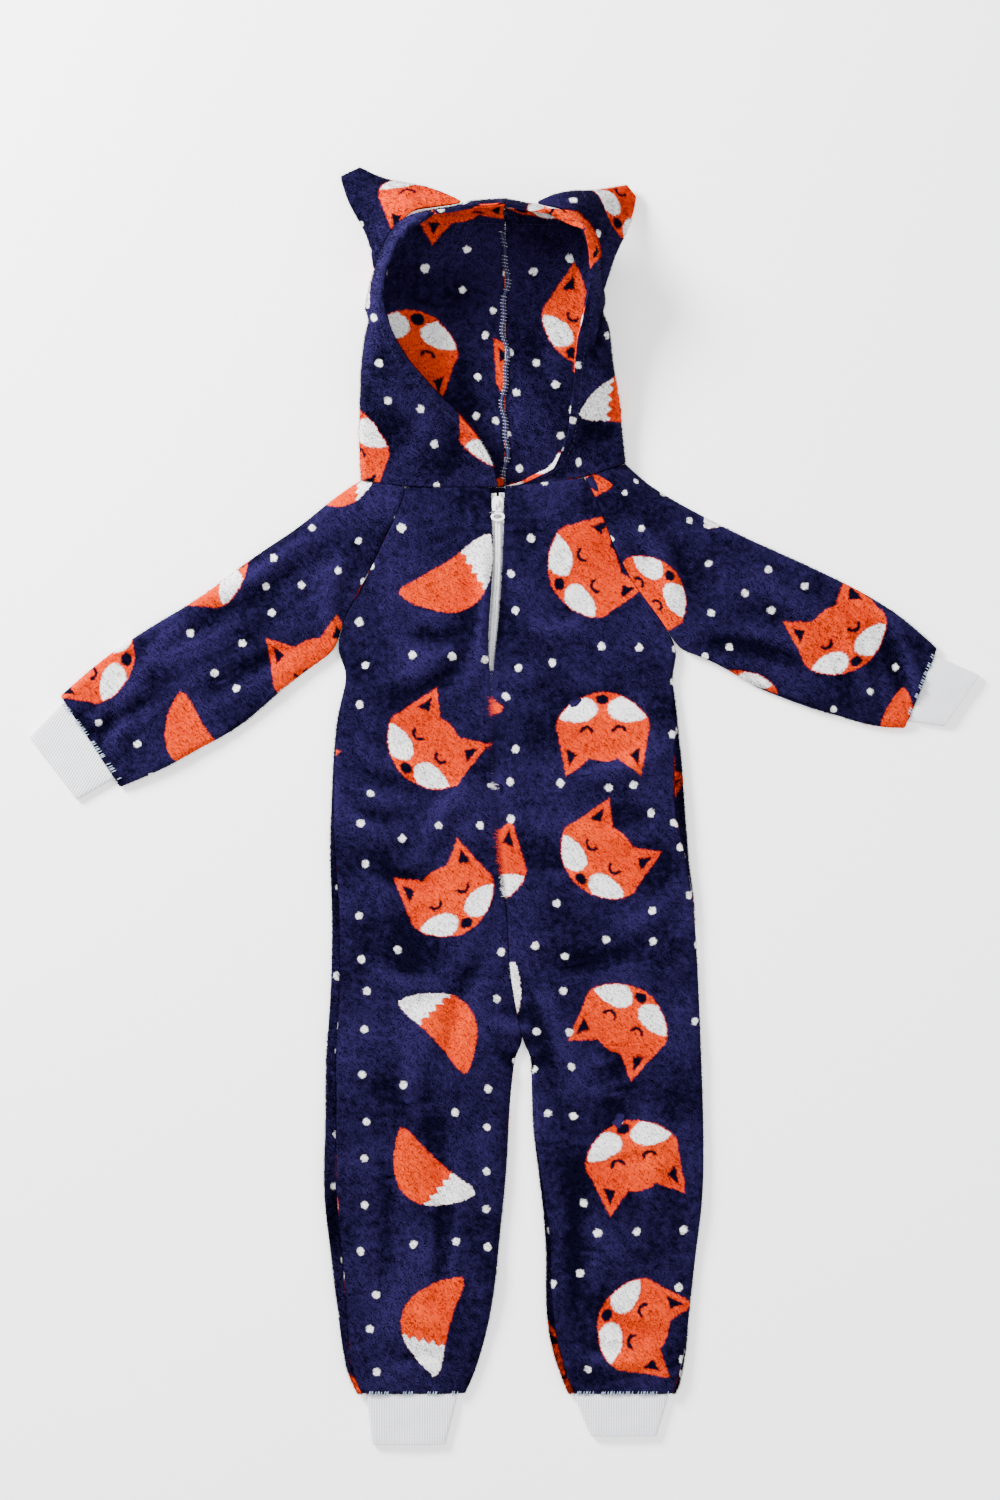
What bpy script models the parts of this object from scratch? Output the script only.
# Child's hooded plush sleepsuit with a front zip, laid on its back with the hood propped open.
# +X is the wearer's left, +Y points to the hood and +Z is up.
# Lengths are in millimetres until a mesh is made; the ankle cuffs end near y = 0 in the tables.

import math
import bmesh
import bpy
import numpy as np

# Cloth and seams
METRES = 0.001
PLUSH = 3.0
KNIT = 2.4
SEAM = 0.3
AIR = 3.0
LAID = 2 * PLUSH + AIR
EDGE = LAID / 2
TOP_REACH = 6.0
UNDER_REACH = EDGE
NECK_RISE = 7.0
NECK_HALF = 70.0
NECK_SLOPE = 110.0
NECK_PLATEAU = 1.35
CUFF_AIR = 2.0

# Levels along the garment
NECK_Y = 912.0
LIFT_FADE = 60.0
ARMPIT_Y = 756.0
CROTCH_Y = 384.0
CROTCH_X = 20.0
LEG_END_Y = 50.0
SEAM_BLEND = 25.0
PINCH = 14.0
PINCH_DROP = 1.5
END_WALL = 0.85

# Rows of the body panels: from, to, steps
BODY_SPANS = (
    (NECK_Y, ARMPIT_Y, 8),
    (ARMPIT_Y, 700, 3),
    (700, 524, 7),
    (524, 516, 1),
    (516, 400, 5),
    (400, CROTCH_Y, 1),
    (CROTCH_Y, 368, 2),
    (368, 64, 12),
    (64, LEG_END_Y, 1),
)

# Outline of body and legs: y, wearer's right side x, wearer's left side x
BODY_SIDES = (
    (756, -158, 169),
    (744, -149, 162),
    (729, -147, 163),
    (710, -154, 165),
    (672, -159, 169),
    (620, -162, 174),
    (567, -164, 177),
    (510, -162, 183),
    (440, -163, 187),
    (368, -168, 190),
    (301, -169, 192),
    (235, -170, 191),
    (178, -163, 184),
    (102, -153, 176),
    (64, -146, 171),
    (50, -138, 166),
)

# Inner edges of the legs: y, right leg x, left leg x
INNER_EDGES = (
    (384, 20, 20),
    (368, 12, 28),
    (350, 10, 28),
    (330, 8, 28),
    (254, 4, 36),
    (216, 0, 40),
    (197, -2, 42),
    (140, -8, 42),
    (102, -16, 45),
    (64, -28, 57),
    (50, -35, 63),
)

# Raglan seams: y, right x, left x
RAGLANS = (
    (912, -92, 79),
    (890, -97, 90),
    (862, -112, 103),
    (840, -122, 114),
    (811, -137, 131),
    (785, -151, 152),
    (770, -155, 161),
    (756, -158, 169),
)

# Where the side seams lie, along the cloth from the outer edge: y, right, left
# A seam above zero is rolled on to the front, one below zero is underneath.
SIDE_SEAMS = (
    (756, 0, 0),
    (731, 0, 0),
    (690, 3, 4),
    (605, 5, 12),
    (556, 8, 5),
    (520, 9, 2),
    (420, 11, 0),
    (330, 13, -3),
    (187, 14, -3),
    (110, 10, 0),
    (72, 8, 6),
    (50, 8, 6),
)

# The same for the seams inside the legs
INNER_SEAMS = (
    (384, 0, 0),
    (359, 0, 0),
    (300, 0, 2),
    (250, -2, 4),
    (211, -2, 6),
    (150, -2, 7),
    (95, 0, 9),
    (72, 0, 8),
    (50, 0, 8),
)

# Centre front: y, x of the zip and of the seam below it
CENTRE_FRONT = (
    (912, -4),
    (843, -4),
    (744, -10),
    (624, -8),
    (546, -1),
    (514, 4),
    (440, 9),
    (384, 20),
)
CENTRE_BACK_TOP = 3.0

# Half the gap between the front edges over the zip: y, gap
ZIP_GAPS = (
    (384, 0.15),
    (518, 0.15),
    (524, 1.5),
    (722, 1.5),
    (744, 2.2),
    (770, 4.4),
    (850, 4.7),
    (868, 5.0),
    (880, 6.3),
    (912, 6.3),
)

# Rise of the neck seam over its middle: x, rise
NECK_LIFT = ((-135, 7), (-92, 0), (-2, 0), (79, 9), (118, 23))

# Ridges of cloth: start x, y, middle x, y, end x, y, height, half width
FOLDS = (
    (-116, 717, -38, 748, -26, 862, 6.0, 10.0),
    (-149, 786, -132, 789, -116, 790, 3.0, 7.0),
    (-30, 634, -29, 548, -32, 463, 4.0, 7.0),
    (-38, 425, -40, 235, -37, 64, 4.5, 7.0),
    (-11, 368, -9, 235, -14, 111, 3.5, 6.0),
    (-45, 434, -83, 403, -121, 372, 3.0, 8.0),
    (86, 140, 124, 116, 158, 83, 3.0, 7.0),
    (22, 429, 37, 387, 46, 339, 2.5, 7.0),
    (3, 805, 46, 815, 84, 808, 2.5, 9.0),
    (160, 871, 178, 792, 283, 725, 4.0, 9.0),
    (131, 833, 138, 820, 147, 803, 2.5, 7.0),
    (-102, 577, -80, 579, -59, 579, 2.0, 9.0),
    (-102, 542, -80, 544, -59, 544, 2.0, 9.0),
)
FOLD_STEPS = 8

# Sleeve outlines in the plan, from the body to the wrist
SLEEVES = {
    "right": {
        "upper": ((-135, 919), (-164, 900), (-192, 875), (-230, 851), (-287, 808), (-344, 774), (-382, 747),
                  (-420, 714)),
        "lower": ((-158, 756), (-173, 746), (-211, 718), (-249, 685), (-287, 664), (-325, 643), (-363, 627)),
        "cuff_shares": (0.09, 0.95),
        "cuff_end": ((-404, 614), (-451, 675)),
    },
    "left": {
        "upper": ((118, 935), (134, 919), (169, 897), (207, 877), (242, 860), (283, 842), (340, 814), (378, 791),
                  (414, 759)),
        "lower": ((169, 756), (193, 749), (226, 732), (283, 708), (321, 694), (359, 684), (383, 683)),
        "cuff_shares": (0.08, 0.92),
        "cuff_end": ((421, 684), (455, 734)),
    },
}
SLEEVE_ROWS = 12

# Ankle cuffs: two corners at the leg, then two at the free end
ANKLE_CUFFS = {
    "right": ((-130, 50), (-41, 50), (-124, 1), (-53, 1)),
    "left": ((67, 50), (160, 50), (84, 9), (148, 9)),
}
CUFF_ROWS = (0, 0.3, 0.65, 0.92, 1)
CUFF_LIP = 0.6

# Hood sections: seam y, z, side x, y, z, rim x, y, z, roundness below, roundness above
HOOD_SEAM_X = 3.0
HOOD_SEAM = (
    (0, 912, 0),
    (1, 945, 0),
    (2, 980, 0),
    (3, 1018, 0),
    (4, 1056, 0),
    (5, 1094, 0),
    (6, 1132, 0),
    (7, 1161, 5),
    (8, 1178, 24),
    (9, 1182, 50),
    (10, 1174, 78),
)
HOOD_SIDES = {
    "right": (
        (0, -135, 919, 4.5, -4, 912, 16, 8, 8),
        (1, -136, 942, 8, -11, 940, 20, 6, 5),
        (2, -136, 971, 13, -32, 972, 28, 5, 3.5),
        (3, -135, 1002, 18, -62, 1001, 38, 4.5, 2.8),
        (4, -133, 1033, 23, -89, 1029, 46, 4, 2.5),
        (5, -129, 1061, 28, -104, 1054, 52, 3.5, 2.3),
        (6, -124, 1090, 32, -111, 1080, 58, 3, 2.2),
        (7, -117, 1123, 36, -109, 1106, 64, 2.6, 2),
        (8, -103, 1149, 42, -104, 1123, 68, 2.3, 2),
        (9, -83, 1169, 58, -97, 1139, 72, 2, 2),
        (10, -63, 1168, 77, -89, 1152, 75, 2, 2),
    ),
    "left": (
        (0, 118, 935, 4.5, 2, 912, 16, 8, 8),
        (1, 116, 954, 8, 25, 916, 17, 6, 5),
        (2, 113, 980, 13, 49, 930, 21, 5, 3.5),
        (3, 109, 1009, 18, 63, 961, 28, 4.5, 2.8),
        (4, 105, 1037, 23, 66, 998, 36, 4, 2.5),
        (5, 100, 1066, 28, 69, 1037, 46, 3.5, 2.3),
        (6, 94, 1090, 32, 77, 1075, 54, 3, 2.2),
        (7, 92, 1118, 36, 84, 1102, 62, 2.6, 2),
        (8, 86, 1147, 42, 86, 1123, 68, 2.3, 2),
        (9, 65, 1168, 58, 82, 1139, 72, 2, 2),
        (10, 41, 1168, 77, 76, 1149, 75, 2, 2),
    ),
}
HOOD_ROWS = (0, 0.5, 1, 2, 3, 4, 5, 6, 6.6, 7.2, 7.8, 8.4, 9, 9.5, 10)
HOOD_UNDER = (0, 0.22, 0.42, 0.6, 0.75, 0.87, 0.95, 0.99)
HOOD_OVER = (0, 0.03, 0.12, 0.28, 0.48, 0.68, 0.86, 1)
HEM_EXTRA = 1.4
NECK_ROWS = 1.5

# Ears: the hood's points that the base meets (section, place round it), and outlines in the plan
EARS = {
    "right": {
        "base": ((6.6, 1), (7.2, 1), (7.8, 1), (8.4, 1), (9, 1), (9, 0.87), (9, 0.75), (9, 0.6), (9, 0.42)),
        "lower": ((-127, 1147), (-137, 1166), (-147, 1185), (-154, 1208)),
        "upper": ((-72, 1194), (-98, 1200), (-116, 1206), (-135, 1217)),
    },
    "left": {
        "base": ((6, 1), (6.6, 1), (7.2, 1), (7.8, 1), (8.4, 1), (9, 1), (9, 0.75), (9, 0.6), (9, 0.42)),
        "lower": ((109, 1135), (118, 1153), (124, 1170), (128, 1189)),
        "upper": ((55, 1188), (80, 1191), (104, 1196), (119, 1200)),
    },
}
EAR_TIP_Z = 7.0
EAR_STEPS = 7
EAR_COLUMNS = (0, 0.06, 0.17, 0.32, 0.5, 0.68, 0.83, 0.94, 1)
EAR_PLUSH = 2.8
EAR_ROLL = 5.0
EAR_EDGE = 0.4
EAR_GAPS = 1.5

# Zip
TAPE_TOP_Y = 906.0
TAPE_END_Y = 522.0
TAPE = 1.2
COIL_HALF = 3.0
COIL_RISE = 1.5
COIL_SHOULDER = 0.3
SLIDER_Y = 895.0
SLIDER_WIDTH = 11.0
SLIDER_LENGTH = 16.0
SLIDER_PLATE = 1.5
POST_WIDTH = 1.8
POST_LENGTH = 4.0
POST_CLEAR = 1.3
BRIDGE_WIDTH = 2.2
BRIDGE_WALL = 1.2
BRIDGE_SPAN = 3.6
BRIDGE_RISE = 2.4
PULL_THICK = 1.4
PULL_WINDOW = 3.6
PULL_FRAME = 7.4
PULL_SLOT = 6.0
PULL_NECK = 3.2
PULL_RING = (13.0, 9.0)
PULL_HOLE = (8.0, 4.2)
PULL_CLEAR = 0.35

NAVY = (0.035, 0.033, 0.11, 1)
WHITE_KNIT = (0.83, 0.83, 0.85, 1)
WHITE_NYLON = (0.86, 0.86, 0.87, 1)


# Curves and blends

def ease(t):
    t = min(max(t, 0.0), 1.0)
    return t * t * (3 - 2 * t)


def smooth(table):
    # A cubic through the rows of a table, read by its first column
    rows = np.array(sorted(table), dtype=float)
    keys = rows[:, 0]
    values = rows[:, 1:]
    slopes = np.gradient(values, keys, axis=0)

    def read(key):
        i = int(np.clip(np.searchsorted(keys, key, side="right") - 1, 0, len(keys) - 2))
        span = keys[i + 1] - keys[i]
        t = (key - keys[i]) / span
        start = values[i] * (1 + 2 * t) * (1 - t) ** 2 + slopes[i] * span * t * (1 - t) ** 2
        end = values[i + 1] * t * t * (3 - 2 * t) + slopes[i + 1] * span * t * t * (t - 1)
        return start + end

    return read


def path(points):
    # A smooth curve through points, read from 0 at its start to 1 at its end
    points = np.array(points, dtype=float)
    steps = np.linalg.norm(np.diff(points, axis=0), axis=1)
    places = np.concatenate(([0], np.cumsum(steps))) / steps.sum()
    return smooth([(place, *point) for place, point in zip(places, points)])


def spans(table):
    values = [table[0][0]]
    for start, end, steps in table:
        values += [start + (end - start) * (i + 1) / steps for i in range(steps)]
    return values


def rounding(distance, reach):
    # Height share of a rolled edge: 0 at the edge, 1 once reach is passed
    share = 1 - min(max(distance / reach, 0.0), 1.0)
    return math.sqrt(1 - share * share)


def quarter(reach, height):
    return math.pi / 2 * math.sqrt((reach * reach + height * height) / 2)


def depth(way, reach, height):
    # Plan distance from the edge after a way along the rolled cloth
    length = quarter(reach, height)
    if way >= length:
        return reach + way - length
    return reach * (1 - math.cos(way / length * math.pi / 2))


body_sides = smooth(BODY_SIDES)
inner_edges = smooth(INNER_EDGES)
raglans = smooth(RAGLANS)
side_seams = smooth(SIDE_SEAMS)
inner_seams = smooth(INNER_SEAMS)
centre_front = smooth(CENTRE_FRONT)
SIDE = {"right": 0, "left": 1}
INWARD = {"right": 1, "left": -1}


def zip_gap(y):
    return float(np.interp(y, [row[0] for row in ZIP_GAPS], [row[1] for row in ZIP_GAPS]))


def centre_back(y):
    share = (NECK_Y - y) / (NECK_Y - CROTCH_Y)
    return CENTRE_BACK_TOP + (CROTCH_X - CENTRE_BACK_TOP) * share


def lifted(x, y):
    # The rows near the neck follow the neck seam's curve
    fade = ease((y - NECK_Y + LIFT_FADE) / LIFT_FADE)
    rise = np.interp(x, [row[0] for row in NECK_LIFT], [row[1] for row in NECK_LIFT])
    return y + float(rise) * fade


# Heights of the laid garment

def fold_points():
    lines = []
    for x0, y0, x1, y1, x2, y2, _, _ in FOLDS:
        t = np.linspace(0, 1, FOLD_STEPS + 1)
        a, b, c = (1 - t) * (1 - 2 * t), 4 * t * (1 - t), t * (2 * t - 1)
        lines.append(np.stack((a * x0 + b * x1 + c * x2, a * y0 + b * y1 + c * y2), axis=1))
    return np.array(lines)


FOLD_LINES = fold_points()
FOLD_STARTS = FOLD_LINES[:, :-1]
FOLD_RUNS = FOLD_LINES[:, 1:] - FOLD_STARTS
FOLD_LENGTHS = (FOLD_RUNS ** 2).sum(axis=2)
FOLD_HEIGHTS = np.array([row[6] for row in FOLDS])
FOLD_WIDTHS = np.array([row[7] for row in FOLDS])


def fold_height(x, y):
    offset = np.array((x, y)) - FOLD_STARTS
    share = np.clip((offset * FOLD_RUNS).sum(axis=2) / FOLD_LENGTHS, 0, 1)
    away = ((offset - share[..., None] * FOLD_RUNS) ** 2).sum(axis=2)
    nearest = away.argmin(axis=1)
    rows = np.arange(len(nearest))
    along = (nearest + share[rows, nearest]) / FOLD_STEPS
    taper = np.sin(math.pi * np.clip(along, 0.02, 0.98)) ** 0.6
    return float((FOLD_HEIGHTS * taper * np.exp(-away[rows, nearest] / FOLD_WIDTHS ** 2)).sum())


def laid_height(x, y):
    aside = max(0.0, abs(x) - NECK_HALF)
    from_neck = math.hypot(aside, max(0.0, NECK_Y - y))
    rise = NECK_RISE * ease(NECK_PLATEAU * (1 - from_neck / NECK_SLOPE))
    drop = PINCH_DROP * ease(1 - (y - LEG_END_Y) / PINCH)
    return LAID + rise - drop + fold_height(x, y)


def body_distances(side, x, y):
    # Plan distances to the outer edge, and to the inner edge of the leg or the crotch
    i, inward = SIDE[side], INWARD[side]
    if y > ARMPIT_Y:
        outer = math.hypot(x - BODY_SIDES[0][1 + i], y - ARMPIT_Y)
    else:
        outer = (x - body_sides(y)[i]) * inward
    if y > CROTCH_Y:
        inner = math.hypot(x - CROTCH_X, y - CROTCH_Y)
    else:
        inner = (inner_edges(y)[i] - x) * inward
    return outer, inner


def body_z(side, x, y, on_top):
    outer, inner = body_distances(side, x, y)
    if on_top:
        share = rounding(outer, TOP_REACH) * rounding(inner, TOP_REACH)
        return EDGE + (laid_height(x, y) - EDGE) * share
    share = rounding(outer, UNDER_REACH) * rounding(inner, UNDER_REACH)
    return EDGE * (1 - share)


# Closed solids from grids of points

SOLIDS = {}


def shell(name, outer, inner, ring=False, colour=NAVY, roughness=0.9):
    # A closed solid between an outer and an inner grid; a ring closes on itself along its columns
    rows, columns = outer.shape[:2]
    points = np.concatenate((outer.reshape(-1, 3), inner.reshape(-1, 3)))
    under = rows * columns

    def at(r, c):
        return r * columns + c % columns

    faces = []
    steps = columns if ring else columns - 1
    for r in range(rows - 1):
        for c in range(steps):
            quad = (at(r, c), at(r, c + 1), at(r + 1, c + 1), at(r + 1, c))
            faces.append(quad)
            faces.append(tuple(under + v for v in reversed(quad)))
    for c in range(steps):
        for r, flip in ((0, False), (rows - 1, True)):
            quad = (at(r, c), under + at(r, c), under + at(r, c + 1), at(r, c + 1))
            faces.append(quad[::-1] if flip else quad)
    if not ring:
        for r in range(rows - 1):
            for c, flip in ((0, True), (columns - 1, False)):
                quad = (at(r, c), under + at(r, c), under + at(r + 1, c), at(r + 1, c))
                faces.append(quad[::-1] if flip else quad)
    SOLIDS[name] = (points, faces, colour, roughness)


STEP = 0.002
RESTING = 0.001


def grid(surface, us, vs, thickness):
    # Outer points of a surface, and inner points a thickness behind them, or over them at rest
    outer = np.zeros((len(us), len(vs), 3))
    normals = np.zeros_like(outer)
    for r, u in enumerate(us):
        for c, v in enumerate(vs):
            outer[r, c] = surface(u, v)
            along = surface(u + STEP, v) - surface(u - STEP, v)
            across = surface(u, v + STEP) - surface(u, v - STEP)
            normal = np.cross(along, across)
            normals[r, c] = normal / np.linalg.norm(normal)
    walls = np.broadcast_to(np.asarray(thickness, dtype=float), outer.shape[:2])
    inner = outer - normals * walls[..., None]
    resting = outer[..., 2] < RESTING
    inner[resting] = outer[resting]
    inner[resting, 2] += np.abs(walls[resting])
    return outer, inner


def square_end(outer, inner, row, direction):
    # Cuts an end row square, so that it meets the next piece face to face
    direction = np.array((direction[0], direction[1], 0.0)) / math.hypot(direction[0], direction[1])
    lean = (inner[row] - outer[row]) @ direction
    inner[row] -= lean[:, None] * direction


# Body panels

FRONT_OFFSETS = (0, 3.5, 8, 15)
BACK_OFFSETS = (0, 4, 9, 16)
MIDDLE_COLUMNS = 4
BODY_ROWS = spans(BODY_SPANS)


def row_y(u):
    i = min(max(int(math.floor(u)), 0), len(BODY_ROWS) - 2)
    return BODY_ROWS[i] + (BODY_ROWS[i + 1] - BODY_ROWS[i]) * (u - i)


def offset_at(v, offsets):
    i = min(max(int(math.floor(v)), 0), len(offsets) - 2)
    return offsets[i] + (offsets[i + 1] - offsets[i]) * (v - i)


def rolled(edge, seam, off, blend, facing):
    # Plan place of a point that lies off away from a seam, along cloth that rolls over an edge
    way = seam + facing * (SEAM / 2 + off)
    on_top = way >= 0
    if on_top:
        inside = depth(way, TOP_REACH, LAID - EDGE)
    else:
        inside = depth(-way, UNDER_REACH, EDGE)
    flat = SEAM / 2 + off
    return edge(inside * blend + flat * (1 - blend)), on_top if seam else facing > 0


def outer_place(side, y, off, facing):
    i, inward = SIDE[side], INWARD[side]
    if y > ARMPIT_Y:
        return raglans(y)[i] + inward * (SEAM / 2 + off), facing > 0
    start = body_sides(y)[i]
    blend = ease((ARMPIT_Y - y) / SEAM_BLEND)
    return rolled(lambda inside: start + inward * inside, side_seams(y)[i], off, blend, facing)


def inner_place(side, y, off, facing):
    i, inward = SIDE[side], INWARD[side]
    if y > CROTCH_Y:
        if facing > 0:
            return centre_front(y)[0] - inward * (zip_gap(y) + off), True
        return centre_back(y) - inward * (SEAM / 2 + off), False
    start = inner_edges(y)[i]
    blend = ease((CROTCH_Y - y) / SEAM_BLEND)
    return rolled(lambda inside: start - inward * inside, inner_seams(y)[i], off, blend, facing)


def body_surface(side, facing):
    offsets = FRONT_OFFSETS if facing > 0 else BACK_OFFSETS
    last = len(offsets) - 1

    def surface(u, v):
        y = row_y(u)
        if v <= last:
            x, on_top = outer_place(side, y, offset_at(v, offsets), facing)
        elif v >= last + MIDDLE_COLUMNS:
            x, on_top = inner_place(side, y, offset_at(2 * last + MIDDLE_COLUMNS - v, offsets), facing)
        else:
            start, _ = outer_place(side, y, offsets[-1], facing)
            end, _ = inner_place(side, y, offsets[-1], facing)
            x = start + (end - start) * (v - last) / MIDDLE_COLUMNS
            on_top = facing > 0
        z = body_z(side, x, y, on_top)
        return np.array((x, lifted(x, y), z))

    return surface


def make_body():
    rows = np.arange(len(BODY_ROWS), dtype=float)
    rows[0] += SEAM / 2 / (BODY_ROWS[0] - BODY_ROWS[1])
    rows[-1] -= SEAM / 2 / (BODY_ROWS[-2] - BODY_ROWS[-1])
    for side in SIDE:
        for part, facing, offsets in (("front", 1, FRONT_OFFSETS), ("back", -1, BACK_OFFSETS)):
            columns = np.arange(2 * (len(offsets) - 1) + MIDDLE_COLUMNS + 1, dtype=float)
            walls = np.full((len(rows), len(columns)), facing_sign(side, facing))
            walls[-1] *= END_WALL
            outer, inner = grid(body_surface(side, facing), rows, columns, walls)
            square_end(outer, inner, 0, (0, 1))
            square_end(outer, inner, -1, (0, 1))
            shell(part + "_" + side, outer, inner)


def facing_sign(side, facing):
    # The grid runs from the outer edge inward, so its normal turns over from side to side and below
    return PLUSH * facing * INWARD[side]


# Sleeves and cuffs: tubes pressed flat, with six stretches round each ring

def ring_share(v, length, reach, under, corner):
    # Share of the way over the ring, from the lower edge to the upper one, and whether it is on top
    v = v % 6
    on_top = v < 3
    w = v if on_top else 6 - v
    edge = reach if on_top else under
    near = edge / length
    if w < 1:
        share = near * (1 - math.cos(w * math.pi / 2))
    elif w > 2:
        share = 1 - near * (1 - math.cos((3 - w) * math.pi / 2))
    elif w < 1.8:
        share = near + (corner - near) * (w - 1) / 0.8
    else:
        share = corner + (1 - near - corner) * (w - 1.8) / 0.2
    return share, on_top


def tube_z(point, lower, upper, height, reach, under, on_top):
    edge = height / 2 if reach < TOP_REACH else EDGE
    low = math.hypot(*(point - lower))
    high = math.hypot(*(point - upper))
    if on_top:
        return edge + (height - edge) * rounding(low, reach) * rounding(high, reach)
    return edge * (1 - rounding(low, under) * rounding(high, under))


# The sleeve's ring meets the body's rows point for point along the raglan seam, then the neck edge
RAGLAN_COLUMNS = (0, 0.34, 0.67, 1, 1.16, 1.32, 1.48, 1.64, 1.8)
NECK_COLUMNS = (2, 2.5, 3)
SHARE_BLEND = 3.0


def seam_share(v, corner):
    v = v % 6
    w = v if v < 3 else 6 - v
    raglan_shares = [corner * i / (len(RAGLAN_COLUMNS) - 1) for i in range(len(RAGLAN_COLUMNS))]
    neck_shares = [corner + (1 - corner) * (i + 1) / len(NECK_COLUMNS) for i in range(len(NECK_COLUMNS))]
    return float(np.interp(w, RAGLAN_COLUMNS + NECK_COLUMNS, raglan_shares + neck_shares))


def sleeve_surface(side):
    i, inward = SIDE[side], INWARD[side]
    upper = path(SLEEVES[side]["upper"])
    lower = path(SLEEVES[side]["lower"])
    neck_end = np.array(SLEEVES[side]["upper"][0], dtype=float)
    armpit = np.array(SLEEVES[side]["lower"][0], dtype=float)
    wrist_low = np.array(SLEEVES[side]["lower"][-1], dtype=float)
    wrist_high = np.array(SLEEVES[side]["upper"][-1], dtype=float)
    neck_start_x = float(raglans(NECK_Y)[i])
    raglan_length = math.hypot(neck_start_x - armpit[0], NECK_Y - ARMPIT_Y)
    neck_length = abs(neck_end[0] - neck_start_x)
    corner = raglan_length / (raglan_length + neck_length)
    wrist_length = math.hypot(*(wrist_high - wrist_low))

    def raglan(share):
        if share <= corner:
            y = ARMPIT_Y + (NECK_Y - ARMPIT_Y) * share / corner
            x = raglans(y)[i] - inward * SEAM / 2
            return np.array((x, lifted(x, y) if y < NECK_Y else lifted(x, NECK_Y)))
        x = neck_start_x + (neck_end[0] - neck_start_x) * (share - corner) / (1 - corner)
        return np.array((x, lifted(x, NECK_Y) - SEAM / 2))

    def plan(s, share):
        ruled = (1 - s) * raglan(share) + s * (wrist_low + (wrist_high - wrist_low) * share)
        swept = (1 - share) * lower(s) + share * upper(s)
        corners = (1 - s) * ((1 - share) * armpit + share * neck_end)
        corners = corners + s * ((1 - share) * wrist_low + share * wrist_high)
        return ruled + swept - corners

    def surface(u, v):
        s = u / SLEEVE_ROWS
        length = (1 - s) * (raglan_length + neck_length) + s * wrist_length
        ring, on_top = ring_share(v, length, TOP_REACH, UNDER_REACH, corner)
        seam = seam_share(v, corner)
        share = seam + (ring - seam) * min(s * SHARE_BLEND, 1)
        point = plan(s, share)
        drop = PINCH_DROP * ease((s - 1) * wrist_length / PINCH + 1)
        height = laid_height(point[0], max(point[1], LEG_END_Y + PINCH)) - drop
        z = tube_z(point, lower(s), upper(s), height, TOP_REACH, UNDER_REACH, on_top)
        return np.array((point[0], point[1], z))

    return surface


CUFF_COLUMNS = (0, 0.5, 1, 1.27, 1.53, 1.8, 2, 2.5, 3, 3.5, 4, 4.2, 4.47, 4.73, 5, 5.5)


def make_sleeves():
    ends = SEAM / 2 / quarter(TOP_REACH, LAID - EDGE)
    over = RAGLAN_COLUMNS + NECK_COLUMNS
    columns = np.array([*over, *(6 - v for v in reversed(over[:-1]))], dtype=float)
    columns[0] += ends
    columns[-1] -= SEAM / 2 / quarter(UNDER_REACH, EDGE)
    rows = np.arange(SLEEVE_ROWS + 1, dtype=float)
    for side in SIDE:
        thickness = -PLUSH * INWARD[side]
        outer, inner = grid(sleeve_surface(side), rows, columns, thickness)
        wrist = np.array(SLEEVES[side]["upper"][-1]) - np.array(SLEEVES[side]["lower"][-1])
        square_end(outer, inner, -1, (-wrist[1], wrist[0]))
        shell("sleeve_" + side, outer, inner)


def make_cuff(name, corners):
    near_low, near_high, far_low, far_high = (np.array(corner, dtype=float) for corner in corners)
    edge = near_high - near_low
    outward = (far_low + far_high - near_low - near_high) / 2
    normal = np.array((-edge[1], edge[0])) / math.hypot(*edge)
    normal = normal * math.copysign(1, float(normal @ outward))
    near_low = near_low + normal * SEAM
    near_high = near_high + normal * SEAM
    height = 2 * KNIT + CUFF_AIR
    turn = -math.copysign(1, float(np.cross(edge, outward)))

    def surface(u, v):
        low = near_low + (far_low - near_low) * u
        high = near_high + (far_high - near_high) * u
        length = math.hypot(*(high - low))
        share, on_top = ring_share(v, length, height * 0.7, height / 2, 0.8)
        point = low + (high - low) * share
        z = tube_z(point, low, high, height, height * 0.7, height / 2, on_top)
        return np.array((point[0], point[1], z))

    thickness = np.full((len(CUFF_ROWS), len(CUFF_COLUMNS)), KNIT * turn)
    outer, inner = grid(surface, CUFF_ROWS, CUFF_COLUMNS, thickness)
    square_end(outer, inner, 0, normal)
    lip = (outer[-1] - inner[-1]) * CUFF_LIP / KNIT / 2
    outer[-1] = outer[-1] - lip
    inner[-1] = inner[-1] + lip
    shell(name, outer, inner, ring=True, colour=WHITE_KNIT, roughness=0.85)


def make_cuffs():
    for side in SIDE:
        low = np.array(SLEEVES[side]["lower"][-1], dtype=float)
        high = np.array(SLEEVES[side]["upper"][-1], dtype=float)
        near = [low + (high - low) * share for share in SLEEVES[side]["cuff_shares"]]
        make_cuff("wrist_cuff_" + side, (*near, *SLEEVES[side]["cuff_end"]))
        make_cuff("ankle_cuff_" + side, ANKLE_CUFFS[side])


# Hood: each half runs from the centre seam, under the head and up the side, to the face rim

hood_seam = smooth(HOOD_SEAM)
hood_sides = {side: smooth(HOOD_SIDES[side]) for side in SIDE}


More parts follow.
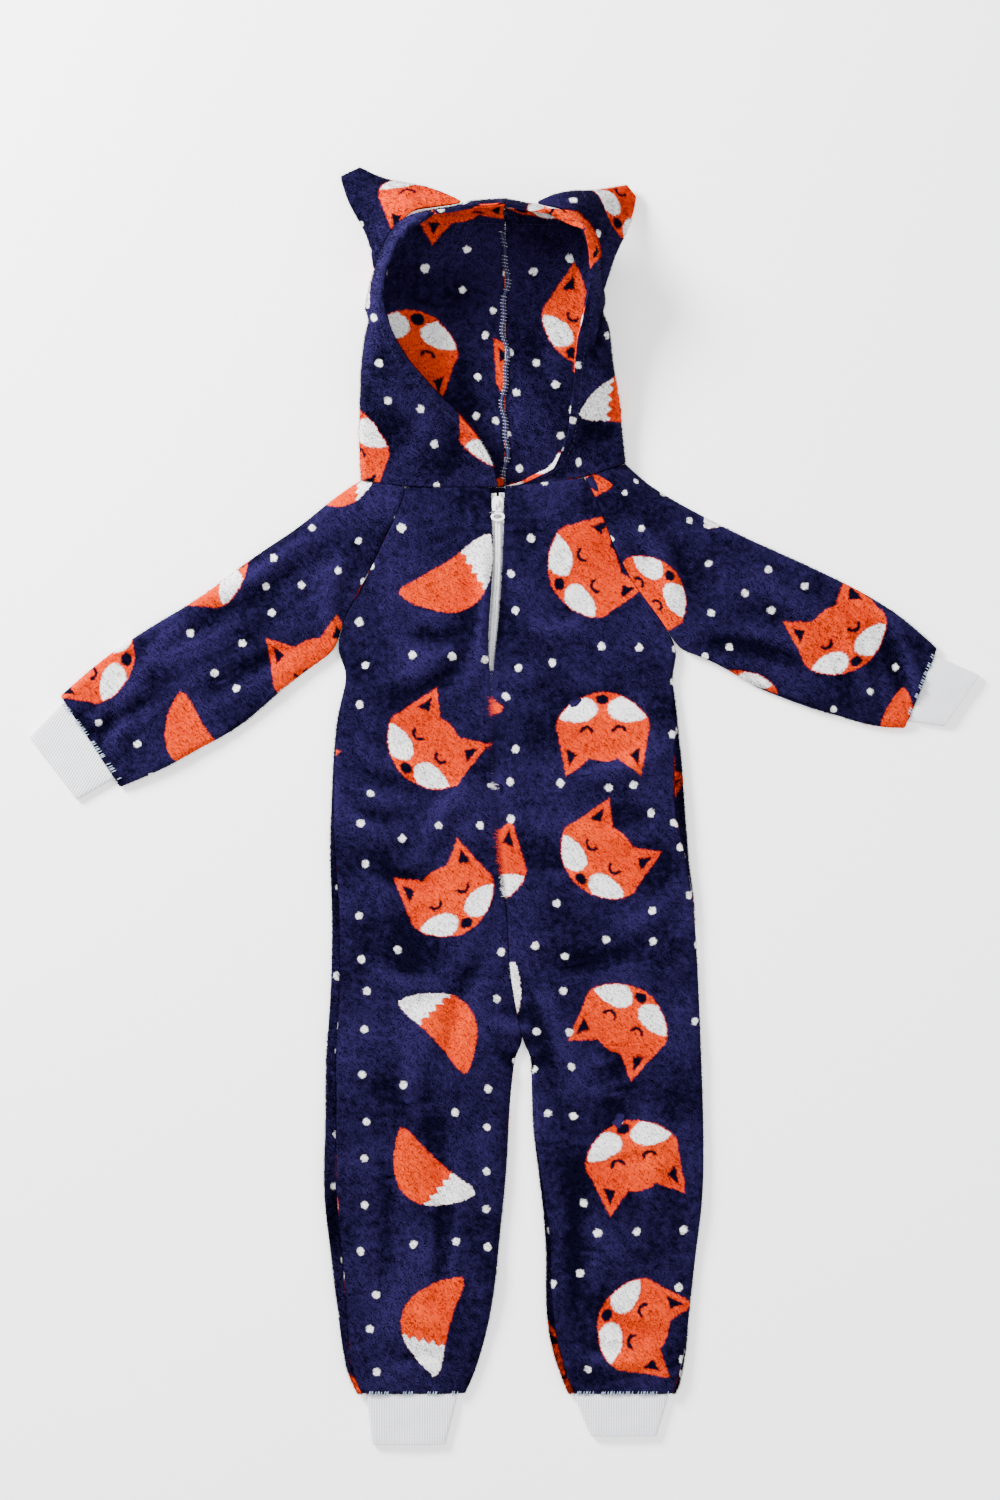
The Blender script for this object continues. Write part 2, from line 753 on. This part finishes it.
def hood_form(side, row, v):
    # v runs 0 to 1 below, from the seam to the side, and 1 to 2 above, from the side to the rim
    seam_y, seam_z = hood_seam(row)
    side_x, side_y, side_z, rim_x, rim_y, rim_z, below, above = hood_sides[side](row)
    edge = np.array((side_x, side_y, side_z))
    if v <= 1:
        share = abs(v)
        start = np.array((HOOD_SEAM_X + INWARD[side] * -SEAM / 2, seam_y, seam_z))
        fall = 1 - (1 - share ** below) ** (1 / below)
        point = start + (edge - start) * np.array((share, share, fall))
        if v < 0:
            point[0] = 2 * start[0] - point[0]
        return point
    share = v - 1
    rim = np.array((rim_x, rim_y, rim_z))
    climb = (1 - max(0.0, 1 - share) ** above) ** (1 / above)
    return edge + (rim - edge) * np.array((share, share, climb))


def hood_point(side, row, v):
    # The first section is carried on to the neck seam, and the next ones follow it less and less
    point = hood_form(side, row, v)
    first = hood_form(side, 0, v)
    point[1] += (lifted(first[0], NECK_Y) - first[1]) * ease(1 - row / NECK_ROWS)
    return point


def make_hood():
    columns = [*HOOD_UNDER, *(1 + share for share in HOOD_OVER)]
    thickness = np.full((len(HOOD_ROWS), len(columns)), PLUSH)
    thickness[-2:, :] += HEM_EXTRA
    thickness[2:, -2:] += HEM_EXTRA
    thickness[-2:, -2:] = PLUSH + HEM_EXTRA
    for side in SIDE:
        walls = -thickness * INWARD[side]
        outer, inner = grid(lambda u, v: hood_point(side, u, v), HOOD_ROWS, columns, walls)
        for layer in (outer, inner):
            layer[0, :, 1] = [lifted(x, NECK_Y) + SEAM / 2 for x in layer[0, :, 0]]
        shell("hood_" + side, outer, inner)


def make_ear(side):
    ear = EARS[side]
    joins = np.array(ear["base"], dtype=float)

    def outward(row, v):
        along = hood_point(side, row + STEP, v) - hood_point(side, row - STEP, v)
        across = hood_point(side, row, v + STEP) - hood_point(side, row, v - STEP)
        normal = np.cross(along, across) * -INWARD[side]
        return normal / np.linalg.norm(normal)

    def base(share):
        row = np.interp(share, EAR_COLUMNS, joins[:, 0])
        v = np.interp(share, EAR_COLUMNS, joins[:, 1])
        return hood_point(side, row, v) + outward(row, v) * SEAM * EAR_GAPS

    low_side = path([base(0)[:2], *ear["lower"]])
    high_side = path([base(1)[:2], *ear["upper"]])
    tips = np.array(ear["lower"][-1], dtype=float), np.array(ear["upper"][-1], dtype=float)

    def middle(u, v):
        share = v
        flat_base = base(share)
        ruled = (1 - u) * flat_base[:2] + u * (tips[0] + (tips[1] - tips[0]) * share)
        swept = (1 - share) * low_side(u) + share * high_side(u)
        ends = (1 - u) * ((1 - share) * base(0)[:2] + share * base(1)[:2])
        ends = ends + u * ((1 - share) * tips[0] + share * tips[1])
        plan = ruled + swept - ends
        z = flat_base[2] + (EAR_TIP_Z - flat_base[2]) * ease(u)
        return np.array((plan[0], plan[1], z))

    rows = [i / EAR_STEPS for i in range(EAR_STEPS + 1)]
    centre, behind = grid(middle, rows, EAR_COLUMNS, np.full((len(rows), len(EAR_COLUMNS)), 1.0))
    normals = centre - behind
    normals = normals * np.sign(normals[..., 2:3])
    for part, facing in (("front", 1), ("back", -1)):
        inner = centre + normals * facing * SEAM / 2
        puff = np.zeros(centre.shape[:2])
        for r, row in enumerate(rows):
            width = np.linalg.norm(centre[r, -1] - centre[r, 0])
            for c, share in enumerate(EAR_COLUMNS):
                across = rounding(min(share, 1 - share) * width, EAR_ROLL)
                to_tip = rounding((1 - row) * np.linalg.norm(centre[0, 3] - centre[-1, 3]), EAR_ROLL)
                puff[r, c] = EAR_EDGE + (1 - EAR_EDGE) * across * to_tip
        outer = inner + normals * facing * (puff * EAR_PLUSH)[..., None]
        for c, (row, v) in enumerate(joins):
            # The base row is cut so that no layer leans into the hood
            normal = outward(row, v)
            for layer in (inner, outer):
                layer[0, c] -= normal * min(0.0, float((layer[0, c] - centre[0, c]) @ normal))
        shell("ear_" + side + "_" + part, outer, inner)


# Zip tapes, slider and pull

def row_of(y):
    return float(np.interp(-y, [-level for level in BODY_ROWS], range(len(BODY_ROWS))))


def make_tape(side):
    # The tape hangs under the front edge, and its coil stands in the gap between the two edges
    inward = INWARD[side]
    middle_rows = [y for y in BODY_ROWS if TAPE_END_Y + 1 < y < TAPE_TOP_Y - 2]
    post_rows = [SLIDER_Y + 8, SLIDER_Y + 4, SLIDER_Y - 2]
    levels = sorted({TAPE_TOP_Y, TAPE_END_Y, *middle_rows, *post_rows}, reverse=True)
    last = 2 * (len(FRONT_OFFSETS) - 1) + MIDDLE_COLUMNS
    rows = [row_of(y) for y in levels]
    _, behind = grid(body_surface(side, 1), rows, (last, last - 1, last - 2), facing_sign(side, 1))
    outer = []
    inner = []
    for r, y in enumerate(levels):
        near = POST_CLEAR if y >= SLIDER_Y + 4 else SEAM / 2
        gap = zip_gap(y)
        rise = COIL_RISE * min(max(gap - COIL_HALF - SEAM, 0.0), 1.0)
        middle = centre_front(y)[0]
        edge = behind[r, 0]
        coil = min(COIL_HALF, gap - SEAM / 2)
        top = [(middle - inward * near, edge[1], edge[2] - SEAM + rise)]
        top.append((middle - inward * (coil - COIL_SHOULDER), edge[1], edge[2] - SEAM + rise))
        top.append((middle - inward * coil, edge[1], edge[2] - SEAM))
        top += [(point[0], point[1], point[2] - SEAM) for point in behind[r]]
        outer.append(top)
        inner.append([(x, py, z - TAPE - (rise if i < 2 else 0)) for i, (x, py, z) in enumerate(top)])
    shell("zip_tape_" + side, np.array(outer), np.array(inner), colour=WHITE_NYLON, roughness=0.6)


def add_prism(bm, outlines, low, high):
    # A flat outline, with any holes, raised from one height to another
    edges = []
    for outline in outlines:
        verts = [bm.verts.new((x * METRES, y * METRES, low * METRES)) for x, y in outline]
        edges += [bm.edges.new((verts[i - 1], verts[i])) for i in range(len(verts))]
    filled = bmesh.ops.triangle_fill(bm, edges=edges, use_beauty=True, use_dissolve=False)
    faces = [item for item in filled["geom"] if isinstance(item, bmesh.types.BMFace)]
    raised = bmesh.ops.extrude_face_region(bm, geom=faces)
    verts = [item for item in raised["geom"] if isinstance(item, bmesh.types.BMVert)]
    bmesh.ops.translate(bm, vec=(0, 0, (high - low) * METRES), verts=verts)


def oval(centre, size, steps, power=1.0):
    points = []
    for i in range(steps):
        angle = 2 * math.pi * (i + 0.5) / steps
        c, s = math.cos(angle), math.sin(angle)
        x = math.copysign(abs(c) ** power, c) * size[0] / 2
        y = math.copysign(abs(s) ** power, s) * size[1] / 2
        points.append((centre[0] + x, centre[1] + y))
    return points


def rectangle(x0, y0, x1, y1):
    return [(x0, y0), (x1, y0), (x1, y1), (x0, y1)]


def slider_levels():
    # Heights of the slider's plates and of the pull's pivot over the zip
    x = float(centre_front(SLIDER_Y)[0])
    cloth = body_z("right", x - zip_gap(SLIDER_Y), SLIDER_Y, True)
    coil_top = cloth - PLUSH - SEAM + COIL_RISE
    tape_under = cloth - PLUSH - SEAM - TAPE
    top_low = coil_top + 2 * SEAM
    top_high = top_low + SLIDER_PLATE
    low_high = tape_under - 2 * SEAM
    low_low = low_high - SLIDER_PLATE
    pivot = top_high + PULL_CLEAR + PULL_THICK / 2
    return {"x": x, "top": (top_low, top_high), "low": (low_low, low_high), "pivot": pivot}


def finish_mesh(bm, name):
    bmesh.ops.recalc_face_normals(bm, faces=bm.faces)
    mesh = bpy.data.meshes.new(name)
    bm.to_mesh(mesh)
    bm.free()
    return mesh


def slider_piece(name, outlines, low, high, cutter=True):
    bm = bmesh.new()
    add_prism(bm, outlines, low, high)
    piece = bpy.data.objects.new(name, finish_mesh(bm, name))
    bpy.context.collection.objects.link(piece)
    if cutter:
        piece.hide_render = True
        piece.display_type = "WIRE"
    return piece


def make_slider(levels, shift):
    x = levels["x"]
    pivot_y = SLIDER_Y + 1.5
    plate = oval((x, SLIDER_Y), (SLIDER_WIDTH, SLIDER_LENGTH), 20, 0.62)
    top_low, top_high = levels["top"]
    low_low, low_high = levels["low"]
    slider = slider_piece("zip_slider", [plate], top_low, top_high, cutter=False)
    half_post = POST_WIDTH / 2
    half_bridge = BRIDGE_WIDTH / 2
    span = BRIDGE_SPAN / 2
    post_y = SLIDER_Y + 4.6
    arch_low = top_high - 0.4
    arch_mid = top_high + BRIDGE_RISE
    arch_high = arch_mid + BRIDGE_WALL
    bars = (
        ("slider_plate", [plate], low_low, low_high),
        ("slider_post", [rectangle(x - half_post, post_y, x + half_post, post_y + POST_LENGTH - 1)],
         low_high - 0.4, top_low + 0.4),
        ("slider_leg_back", [rectangle(x - half_bridge, pivot_y + span, x + half_bridge,
                                       pivot_y + span + BRIDGE_WALL)], arch_low, arch_high - 0.2),
        ("slider_leg_front", [rectangle(x - half_bridge, pivot_y - span - BRIDGE_WALL, x + half_bridge,
                                        pivot_y - span)], arch_low, arch_high - 0.2),
        ("slider_arch", [rectangle(x - half_bridge, pivot_y - span - BRIDGE_WALL, x + half_bridge,
                                   pivot_y + span + BRIDGE_WALL)], arch_mid, arch_high),
    )
    for name, outlines, low, high in bars:
        tool = slider_piece(name, outlines, low, high)
        tool.location = shift
        union = slider.modifiers.new(name, "BOOLEAN")
        union.operation = "UNION"
        union.solver = "EXACT"
        union.object = tool
    slider.location = shift
    return slider


def make_pull(levels, shift):
    # The pull's origin is on its pivot, and it lies from there towards the feet
    half = PULL_FRAME / 2
    bar = PULL_THICK / 2
    window = rectangle(-PULL_WINDOW / 2, -bar - PULL_SLOT, PULL_WINDOW / 2, -bar)
    ring_y = -bar - PULL_SLOT - PULL_NECK - PULL_RING[1] / 2 + 1.5
    hole = oval((0, ring_y), PULL_HOLE, 16)
    ring = oval((0, ring_y), PULL_RING, 24, 0.9)
    shoulder = ring_y + PULL_RING[1] / 2
    lower = [(px, py) for px, py in ring if abs(px) > half * 0.72 or py < ring_y]
    start = min(range(len(lower)), key=lambda i: math.hypot(lower[i][0] + half, lower[i][1] - shoulder))
    lower = lower[start:] + lower[:start]
    outline = [(half, bar), (-half, bar), (-half, -bar - PULL_SLOT), (-half * 0.8, shoulder + 0.4)]
    outline += lower
    outline += [(half * 0.8, shoulder + 0.4), (half, -bar - PULL_SLOT)]
    bm = bmesh.new()
    add_prism(bm, [outline, window, hole], -bar, bar)
    pull = bpy.data.objects.new("zip_pull", finish_mesh(bm, "zip_pull"))
    bpy.context.collection.objects.link(pull)
    pull.location = (np.array((levels["x"], SLIDER_Y + 1.5, levels["pivot"])) * METRES + shift).tolist()
    return pull


def add_material(item, colour, roughness):
    material = bpy.data.materials.new(item.name)
    material.use_nodes = True
    shader = material.node_tree.nodes["Principled BSDF"]
    shader.inputs["Base Color"].default_value = colour
    shader.inputs["Roughness"].default_value = roughness
    shader.inputs["Metallic"].default_value = 0
    item.data.materials.append(material)


def make_objects():
    everything = np.concatenate([points for points, _, _, _ in SOLIDS.values()])
    low, high = everything.min(axis=0), everything.max(axis=0)
    shift = -np.array(((low[0] + high[0]) / 2, (low[1] + high[1]) / 2, low[2])) * METRES
    for name, (points, faces, colour, roughness) in SOLIDS.items():
        mesh = bpy.data.meshes.new(name)
        mesh.from_pydata((points * METRES + shift).tolist(), [], faces)
        bm = bmesh.new()
        bm.from_mesh(mesh)
        bmesh.ops.recalc_face_normals(bm, faces=bm.faces)
        bm.to_mesh(mesh)
        bm.free()
        mesh.shade_smooth()
        mesh.set_sharp_from_angle(angle=math.radians(50))
        item = bpy.data.objects.new(name, mesh)
        bpy.context.collection.objects.link(item)
        add_material(item, colour, roughness)
    levels = slider_levels()
    for item in (make_slider(levels, shift), make_pull(levels, shift)):
        add_material(item, WHITE_NYLON, 0.4)


def main():
    for item in list(bpy.data.objects):
        bpy.data.objects.remove(item, do_unlink=True)
    make_body()
    make_sleeves()
    make_cuffs()
    make_hood()
    for side in SIDE:
        make_ear(side)
        make_tape(side)
    make_objects()


main()
